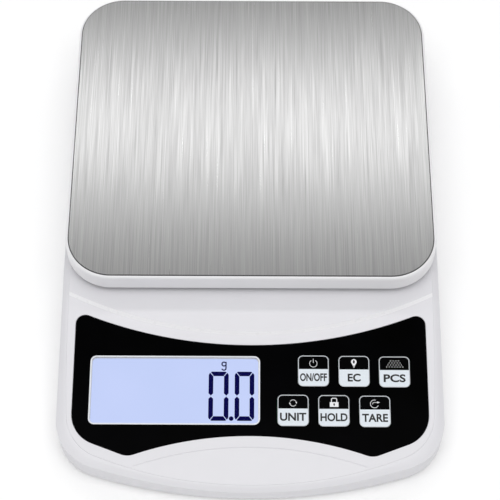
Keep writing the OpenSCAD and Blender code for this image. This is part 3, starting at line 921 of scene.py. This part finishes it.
def tray_ring(inset, z):
    return rounded_rect(TRAY_W - 2 * inset, TRAY_L - 2 * inset, TRAY_R - inset,
                        (0, TRAY_Y), z, 20)


def build_tray():
    """White tray: soft outer edge, thin rim round the plate, hollow below."""
    bm = new_shape()
    top = tray_high.z
    rings = [tray_ring(TRAY_WALL, SKIRT_BOTTOM), tray_ring(SKIRT_EDGE, SKIRT_BOTTOM),
             tray_ring(0, SKIRT_BOTTOM + SKIRT_EDGE)]
    for k in range(7):
        turn = math.pi / 2 * k / 6
        rings.append(tray_ring(EDGE_IN * (1 - math.cos(turn)),
                               top - EDGE_DOWN * (1 - math.sin(turn))))
    rings += [tray_ring(RIM_IN, top - RIM_DROP), tray_ring(RIM_IN, TRAY_SEAT)]
    loft(bm, rings, [0] * 9 + [1, 2])
    fill(bm, closed_loop(bm, tray_ring(RIM_IN, TRAY_SEAT)), 3)
    # hollow underside with the block that stands on the load cell
    inner = TRAY_SEAT - TRAY_SEAT_T
    loft(bm, [tray_ring(TRAY_WALL, SKIRT_BOTTOM), tray_ring(TRAY_WALL, inner)], [4])
    block = rounded_rect(*BOSS_BLOCK, BOSS_MIDDLE, inner)
    edges = closed_loop(bm, tray_ring(TRAY_WALL, inner)) + closed_loop(bm, block)
    fill(bm, edges, 5)
    foot = raised(block, tray_low.z)
    loft(bm, [block, foot], [6])
    fill(bm, closed_loop(bm, foot), 7)
    finish_piece(bm, "platform_tray_shell", "platform",
                 [FINISHES["tray_white"]], ["platform_tray"])


def build_plate():
    """Steel plate with a fine rolled edge, and a plan map for its brushing."""
    bm = new_shape()
    middle = (0, (plate_low.y + plate_high.y) / 2)

    def ring(inset, z):
        return rounded_rect(PLATE_W - 2 * inset, PLATE_L - 2 * inset, PLATE_R - inset,
                            middle, z, 20)
    low, top = plate_low.z, plate_high.z
    fill(bm, closed_loop(bm, ring(0.1, low)), 0)
    loft(bm, [ring(0.1, low), ring(0, low + 0.1), ring(0, top - 0.25), ring(0.08, top - 0.08),
              ring(0.34, top)], [1] * 4)
    fill(bm, closed_loop(bm, ring(0.34, top)), 2)
    plate = finish_piece(bm, "platform_plate_steel", "platform",
                         [FINISHES["plate_steel"], CUT_EDGE], ["platform_plate"],
                         second=[1])
    flat = plate.data.uv_layers.new(name="plan")
    for corner in plate.data.loops:
        place = plate.data.vertices[corner.vertex_index].co
        flat.data[corner.index].uv = (place.x * UV_PER_METRE, place.y * UV_PER_METRE)
    return plate


build_tray()
build_plate()


# ---------- panel film and display ----------

def build_film():
    """Black film with its window and key openings; the edge is finely rounded."""
    bm = new_shape()
    low, top = -RECESS, -0.1
    soft = 0.08
    outer = film_ring(0, low)
    holes = [window_ring(0.02)] + [key_ring(name, KEY_GAP - 0.02) for name in KEYS]
    loft(bm, [on_panel(film_ring(0, low)), on_panel(film_ring(0, top - soft)),
              on_panel(film_ring(-soft, top))], [1, 1])
    top_edges = closed_loop(bm, on_panel(film_ring(-soft, top)))
    low_edges = closed_loop(bm, on_panel(outer))
    for ring in holes:
        upper, lower = on_panel(raised(ring, top)), on_panel(raised(ring, low))
        top_edges += closed_loop(bm, upper)
        low_edges += closed_loop(bm, lower)
        loft(bm, [upper, lower], [2])
    fill(bm, top_edges, 0, PANEL_UP)
    fill(bm, low_edges, 3, PANEL_UP)
    finish_piece(bm, "panel_film_sheet", "housing",
                 [FINISHES["panel_black"]], ["panel_film"])


def slab(bm, ring, low, high, surface=0, hole=()):
    """Flat piece between two heights on the panel, given by its outline and one opening."""
    lines = [ring, hole] if hole else [ring]
    upper, lower = [], []
    for line in lines:
        top, foot = on_panel(raised(line, high)), on_panel(raised(line, low))
        upper += closed_loop(bm, top)
        lower += closed_loop(bm, foot)
        loft(bm, [top, foot], [surface + 1])
    fill(bm, upper, surface, PANEL_UP)
    fill(bm, lower, surface, PANEL_UP)


GLASS_TOP = -2.75
DIGIT_T = 0.05
# height of a capital as a share of the built-in font's size
CAPITAL_SHARE = 0.7


def build_digits():
    """Two zeros with a point between them."""
    bm = new_shape()
    low, high, bar, gap = -12.8, 9.1, 2.0, 0.2
    middle = (low + high) / 2
    round_by = 0.9
    for left, right in ((-17.9, -9.3), (-6.7, 1.7)):
        for y, sign in ((high, -1), (low, 1)):
            ring = [Vector((left + round_by, y + sign * 0.3, 0)),
                    Vector((left + round_by + 0.5, y, 0)),
                    Vector((right - round_by - 0.5, y, 0)),
                    Vector((right - round_by, y + sign * 0.3, 0)),
                    Vector((right - gap - bar, y + sign * bar, 0)),
                    Vector((left + gap + bar, y + sign * bar, 0))]
            slab(bm, ring, GLASS_TOP, GLASS_TOP + DIGIT_T)
        for x, sign in ((left, 1), (right, -1)):
            for end, inward in ((high, -1), (low, 1)):
                point = middle - inward * gap
                ring = [Vector((x, end + inward * (round_by + 0.6), 0)),
                        Vector((x + sign * 0.35, end + inward * (round_by - 0.1), 0)),
                        Vector((x + sign * (round_by - 0.25), end + inward * (round_by - 0.35), 0)),
                        Vector((x + sign * bar, end + inward * (bar + gap), 0)),
                        Vector((x + sign * bar, point - inward * bar / 2, 0)),
                        Vector((x + sign * bar / 2, point, 0)),
                        Vector((x, point - inward * bar / 2, 0))]
                slab(bm, ring, GLASS_TOP, GLASS_TOP + DIGIT_T)
    slab(bm, arc((-8.1, low + 1), 1.0, 0, 345, 23), GLASS_TOP, GLASS_TOP + DIGIT_T)
    finish_piece(bm, "display_digits", "housing", [DIGIT_DARK])


def lettering(name, words, width, height, centre, z, thick, body, finish, bold=0.0):
    """Flat capitals on the panel, fitted to a width and a height, closed and a hair thick."""
    curve = bpy.data.curves.new(name, "FONT")
    curve.body = words
    curve.size = height / CAPITAL_SHARE
    curve.offset = bold
    curve.extrude = thick / 2
    curve.resolution_u = 5
    holder = bpy.data.objects.new(name + "_text", curve)
    bpy.context.scene.collection.objects.link(holder)
    bpy.context.view_layer.update()
    mesh = bpy.data.meshes.new_from_object(holder)
    bpy.data.objects.remove(holder)
    bm = new_shape()
    bm.from_mesh(mesh)
    bpy.data.meshes.remove(mesh)
    low = Vector([min(v.co[i] for v in bm.verts) for i in range(3)])
    high = Vector([max(v.co[i] for v in bm.verts) for i in range(3)])
    fit = Matrix.Diagonal((width / (high.x - low.x), height / (high.y - low.y), 1, 1))
    middle = Matrix.Translation(-(low + high) / 2)
    place = PANEL @ Matrix.Translation((centre[0], centre[1], z)) @ fit @ middle
    bmesh.ops.transform(bm, matrix=place, verts=bm.verts)
    finish_piece(bm, name, body, [finish])


def band(centre, outer, inner, start, end, count=20):
    """Outline of a bent bar: part of a ring between two angles."""
    return arc(centre, outer, start, end, count) + arc(centre, inner, end, start, count)


def build_gram_sign():
    """The small unit letter above the digits: a bowl, a stem and a hook."""
    bm = new_shape()
    x, y, outer, inner = -11.4, 12.55, 1.15, 0.6
    low, high = GLASS_TOP, GLASS_TOP + DIGIT_T
    slab(bm, band((x, y), outer, inner, 40, 320), low, high)
    stem = [Vector((x + inner, y - 1.9, 0)), Vector((x + outer, y - 1.9, 0)),
            Vector((x + outer, y + 1.0, 0)), Vector((x + inner, y + 1.0, 0))]
    slab(bm, stem, low, high + 0.01)
    slab(bm, band((x, y - 1.9), outer, inner, 195, 363), low, high)
    finish_piece(bm, "display_gram_sign", "housing", [DIGIT_DARK])


def build_window_rim():
    """White line printed round the display, just inside the window's edge."""
    bm = new_shape()
    low, high = -0.1, -0.07
    out, inn = -0.04, -0.6
    loft(bm, [on_panel(window_ring(out, low)), on_panel(window_ring(out, high)),
              on_panel(window_ring(inn, high)), on_panel(window_ring(inn, low)),
              on_panel(window_ring(out, low))], [0, 1, 2, 3])
    finish_piece(bm, "display_window_line", "housing", [INK_RIM])


build_film()
build_digits()
build_gram_sign()
build_window_rim()


# ---------- keys ----------

KEY_TOP = 0.1
KEY_EDGE = 0.12
CAP_FOOT = -1.5
POST_FOOT = -3
POST_R = 2.4
LINE_W = 0.34
PRINT_T = 0.03
SPLIT = 0.8
LABEL_DROP = 2.85
LABEL_H = 3.55
# word and its width on each key
LABELS = {"on_off": ("ON/OFF", 11.5), "backlight": ("EC", 5.5), "count": ("PCS", 9.4),
          "unit": ("UNIT", 11.2), "hold": ("HOLD", 11.5), "tare": ("TARE", 10.9)}


def key_cap(name):
    """Key cap with a soft edge all round, and the post that presses the switch."""
    bm = new_shape()
    rings = [on_panel(key_ring(name, 0, CAP_FOOT)),
             on_panel(key_ring(name, 0, KEY_TOP - KEY_EDGE))]
    for k in range(1, 5):
        turn = math.pi / 2 * k / 4
        rings.append(on_panel(key_ring(name, -KEY_EDGE * (1 - math.cos(turn)),
                                       KEY_TOP - KEY_EDGE * (1 - math.sin(turn)))))
    loft(bm, rings, [1] * 5)
    fill(bm, closed_loop(bm, rings[-1]), 0, PANEL_UP)
    post = arc(key_centre(name), POST_R, 0, 348.75, 31)
    upper, lower = on_panel(raised(post, CAP_FOOT)), on_panel(raised(post, POST_FOOT))
    fill(bm, closed_loop(bm, rings[0]) + closed_loop(bm, upper), 2, PANEL_UP)
    loft(bm, [upper, lower], [3])
    fill(bm, closed_loop(bm, lower), 4, PANEL_UP)
    finish_piece(bm, "key_" + name + "_cap", "key_" + name + "_body",
                 [FINISHES["key_face"]], ["key_" + name])


def key_print(name, part, bm, finish):
    finish_piece(bm, "key_" + name + "_" + part, "key_" + name + "_body",
                 [finish])


def key_line(name):
    """Silver line round the key's face."""
    bm = new_shape()
    z, top = KEY_TOP, KEY_TOP + PRINT_T
    out, inn = -KEY_EDGE, -KEY_EDGE - LINE_W
    loft(bm, [on_panel(key_ring(name, out, z)), on_panel(key_ring(name, out, top)),
              on_panel(key_ring(name, inn, top)), on_panel(key_ring(name, inn, z)),
              on_panel(key_ring(name, out, z))], [0, 1, 2, 3])
    key_print(name, "line", bm, INK_SILVER)


def key_field(name):
    """Pale lower part of the key's face."""
    bm = new_shape()
    cx, cy = key_centre(name)
    inset = KEY_EDGE + LINE_W - 0.02
    half_w, r = KEY_W / 2 - inset, KEY_CORNER - inset
    low = cy - KEY_L / 2 + inset
    ring = [Vector((cx + half_w, cy + SPLIT, 0)), Vector((cx - half_w, cy + SPLIT, 0))]
    ring += arc((cx - half_w + r, low + r), r, 180, 270, 6)
    ring += arc((cx + half_w - r, low + r), r, 270, 360, 6)
    slab(bm, ring, KEY_TOP, KEY_TOP + PRINT_T * 0.9)
    key_print(name, "field", bm, INK_PALE)


def box_ring(x0, x1, y0, y1):
    return [Vector((x0, y0, 0)), Vector((x1, y0, 0)), Vector((x1, y1, 0)), Vector((x0, y1, 0))]


def arrow_head(x, y, size, turn):
    """Triangle that points along an angle in degrees."""
    tips = []
    for part, reach in ((0, 1.0), (130, 0.8), (230, 0.8)):
        a = math.radians(turn + part)
        tips.append(Vector((x + reach * size * math.cos(a), y + reach * size * math.sin(a), 0)))
    return tips


def power_sign(x, y):
    y += 3.35
    return [band((x, y), 1.7, 1.5, 125, 415, 28),
            box_ring(x - 0.11, x + 0.11, y + 0.25, y + 2.1)]


def bulb_sign(x, y):
    y += 4.25
    outer = arc((x, y), 1.2, -40, 220, 24) + [Vector((x - 0.45, y - 1.75, 0)),
                                              Vector((x + 0.45, y - 1.75, 0))]
    inner = [Vector((x + 0.42 * p.x, y + 0.78 * p.y, 0)) for p in arc((0, 0), 1, 0, 345, 23)]
    return [(outer, inner), box_ring(x - 0.4, x + 0.4, y - 2.2, y - 1.95),
            box_ring(x - 0.22, x + 0.22, y - 2.65, y - 2.4)]


def pile_sign(x, y):
    pitch, dot = 1.16, 0.2
    parts = []
    for row in range(4):
        for i in range(4 + row):
            cx = x + 0.2 + pitch * (i - (3 + row) / 2)
            cy = y + 4.95 - 0.92 * row
            parts.append(arc((cx, cy), dot, 0, 315, 7))
    return parts


def turn_sign(x, y):
    y += 3.25
    return [band((x, y), 1.5, 1.28, 15, 150, 14), band((x, y), 1.5, 1.28, 195, 330, 14),
            arrow_head(x + 1.4, y + 0.1, 0.52, -80), arrow_head(x - 1.4, y - 0.1, 0.52, 100)]


def padlock_sign(x, y):
    x += 0.15
    low, high = y + 1.7, y + 3.8
    body = box_ring(x - 1.85, x + 1.85, low, high)
    keyhole = arc((x, low + 1.2), 0.38, -60, 240, 12)
    keyhole += [Vector((x - 0.19, low + 0.45, 0)), Vector((x + 0.19, low + 0.45, 0))]
    top = high + 1.9
    bow = [Vector((x + u, v, 0)) for u, v in (
        (1.3, high), (1.3, top - 0.5), (0.8, top), (-0.8, top), (-1.3, top - 0.5),
        (-1.3, high), (-0.95, high), (-0.95, top - 0.65), (-0.65, top - 0.35),
        (0.65, top - 0.35), (0.95, top - 0.65), (0.95, high))]
    return [(body, keyhole), (bow, ())]


def zero_sign(x, y):
    y += 3.3
    return [band((x - 0.1, y), 1.85, 1.62, 70, 335, 28),
            band((x - 0.1, y - 0.2), 0.95, 0.75, 84, 180, 10),
            box_ring(x - 0.16, x + 1.1, y + 0.56, y + 0.76),
            arrow_head(x + 1.45, y + 0.66, 0.75, 0)]


SIGNS = {"on_off": power_sign, "backlight": bulb_sign, "count": pile_sign,
         "unit": turn_sign, "hold": padlock_sign, "tare": zero_sign}


def key_sign(name):
    """White sign on the upper part of the key's face."""
    bm = new_shape()
    for shape in SIGNS[name](*key_centre(name)):
        ring, hole = shape if isinstance(shape, tuple) else (shape, ())
        slab(bm, ring, KEY_TOP, KEY_TOP + PRINT_T, 0, hole)
    key_print(name, "sign", bm, INK_WHITE)


for key in KEYS:
    key_cap(key)
    key_line(key)
    key_field(key)
    key_sign(key)
    key_x, key_y = key_centre(key)
    word, word_w = LABELS[key]
    lettering("key_" + key + "_letters", word, word_w, LABEL_H, (key_x, key_y - LABEL_DROP),
              KEY_TOP + 1.4 * PRINT_T, PRINT_T, "key_" + key + "_body",
              INK_BLACK, 0.15)


# ---------- floor ----------

FLOOR_HALF = 3
FLOOR_GLOW = 0.1


def add_floor():
    """A pale seamless ground under the scale."""
    bm = bmesh.new()
    bmesh.ops.create_grid(bm, x_segments=2, y_segments=2, size=FLOOR_HALF)
    mesh = bpy.data.meshes.new("floor")
    bm.to_mesh(mesh)
    bm.free()
    floor = bpy.data.objects.new("floor", mesh)
    bpy.context.scene.collection.objects.link(floor)
    finish = Finish("floor_pale")
    finish.into("Base Color", finish.ramp(finish.noise(300, 1), (0.90,) * 3, (0.91,) * 3))
    finish.value("Emission Color", (1, 1, 1, 1))
    finish.value("Emission Strength", FLOOR_GLOW)
    finish.value("Roughness", 0.8)
    finish.value("Specular IOR Level", 0.1)
    mesh.materials.append(finish.material)


add_floor()
